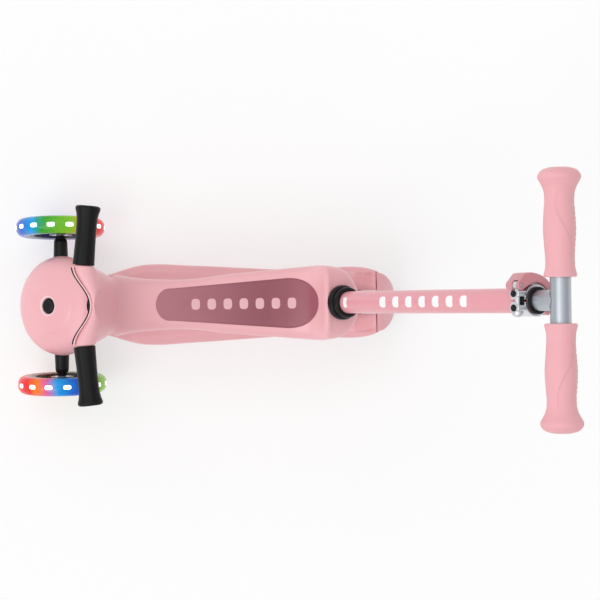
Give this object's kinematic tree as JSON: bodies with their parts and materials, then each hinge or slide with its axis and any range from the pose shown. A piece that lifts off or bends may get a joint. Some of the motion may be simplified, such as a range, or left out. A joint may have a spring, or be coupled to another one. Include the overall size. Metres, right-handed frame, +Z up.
{
  "type": "kick scooter",
  "caption": "Three-wheeled toddler scooter with a moulded ride-on seat, a small front handlebar and a leaning telescopic push bar with two grips behind the seat.",
  "frame": {"origin": "on the floor under the middle of the overall box", "axes": "+X forward, the way the scooter rides; +Y to the rider's left; +Z up"},
  "size_m": [0.6939, 0.2884, 0.5875],
  "materials": {
    "body": "satin pink injection moulding",
    "bar": "pink paint on aluminium tube",
    "pad": "dark rose soft pad",
    "black": "black moulding",
    "soft_black": "black rubber",
    "rear_tread": "black polyurethane",
    "grip": "pink soft rubber",
    "lever": "dusty rose",
    "tread": "clear tinted polyurethane",
    "lamp": "white light strip",
    "steel": "bright steel",
    "tube": "satin anodised"
  },
  "bodies": {
    "frame": {"deck": "body", "nose_cover": "body", "front_collar": "black", "kingpin_bolt": "steel", "kingpin_nut": "steel", "steering_bushing": "soft_black", "rear_axle_bolt": "steel", "rear_axle_nut": "steel", "brake_hinge_pin": "steel", "brake_spring": "steel", "seat_shell": "body", "seat_underside": "body", "seat_pad": "pad", "crossbar_trim": "black", "left_child_grip": "soft_black", "right_child_grip": "soft_black", "front_stem": "black", "seat_collar": "black", "collar_ring": "black", "seat_screw_front": "steel", "seat_screw_rear": "steel", "t_bar_tube": "bar", "clamp": "tube", "clamp_bolt": "steel", "clamp_nut": "steel", "clamp_shim": "black", "lever_pin": "steel"},
    "truck": {"steering_truck": "black", "left_front_axle": "steel", "right_front_axle": "steel", "left_dynamo_magnet": "steel", "right_dynamo_magnet": "steel"},
    "left_front_wheel": {"left_front_tyre": "tread", "left_light_ring": "lamp", "left_front_wheel_core": "black", "left_front_bearing_inner": "steel", "left_front_bearing_outer": "steel"},
    "right_front_wheel": {"right_front_tyre": "tread", "right_light_ring": "lamp", "right_front_wheel_core": "black", "right_front_bearing_inner": "steel", "right_front_bearing_outer": "steel"},
    "rear_wheel": {"rear_tyre": "rear_tread", "rear_wheel_core": "body", "rear_bearing_left": "steel", "rear_bearing_right": "steel"},
    "brake": {"brake_flap": "body"},
    "lock": {"lock_button": "black"},
    "seat_release": {"seat_release_button": "black"},
    "snap": {"snap_button": "steel"},
    "lever": {"clamp_lever": "lever"},
    "handlebar": {"inner_tube": "tube", "inner_tube_guide": "black", "cross_tube": "tube", "left_grip": "grip", "right_grip": "grip"}
  },
  "joints": [
    {"name": "lean_steer", "type": "hinge", "parent": "frame", "child": "truck", "pos_m": [0.28285, 0, 0.085], "axis": [0.5592, 0, 0.829], "range_deg": [-12, 12], "stiffness_Nm_per_rad": 6},
    {"name": "left_wheel_spin", "type": "hinge", "parent": "truck", "child": "left_front_wheel", "pos_m": [0.28645, 0.107, 0.0605], "axis": [0, 0.9986, -0.0523], "continuous": true},
    {"name": "right_wheel_spin", "type": "hinge", "parent": "truck", "child": "right_front_wheel", "pos_m": [0.28645, -0.107, 0.0605], "axis": [0, 0.9986, 0.0523], "continuous": true},
    {"name": "rear_wheel_spin", "type": "hinge", "parent": "frame", "child": "rear_wheel", "pos_m": [-0.12355, 0, 0.04], "axis": [0, 1, 0], "continuous": true},
    {"name": "brake_press", "type": "hinge", "parent": "frame", "child": "brake", "pos_m": [-0.07555, 0, 0.066], "axis": [0, -1, 0], "range_deg": [0, 4], "stiffness_Nm_per_rad": 2, "springref_deg": -5.73},
    {"name": "lock_press", "type": "slide", "parent": "frame", "child": "lock", "axis": [-0.5592, 0, -0.829], "range_m": [0, 0.003], "stiffness_N_per_m": 400, "springref_m": -0.001},
    {"name": "seat_release_press", "type": "slide", "parent": "frame", "child": "seat_release", "axis": [-0.8192, 0, -0.5736], "range_m": [0, 0.003], "stiffness_N_per_m": 400, "springref_m": -0.001},
    {"name": "snap_press", "type": "slide", "parent": "frame", "child": "snap", "axis": [0.8192, 0, 0.5736], "range_m": [0, 0.003], "stiffness_N_per_m": 600, "springref_m": -0.001},
    {"name": "clamp_lever_turn", "type": "hinge", "parent": "frame", "child": "lever", "pos_m": [-0.28013, -0.017, 0.53965], "axis": [-0.5736, 0, 0.8192], "range_deg": [0, 110]},
    {"name": "handlebar_height", "type": "slide", "parent": "frame", "child": "handlebar", "axis": [-0.5736, 0, 0.8192], "range_m": [0, 0.15]}
  ]
}
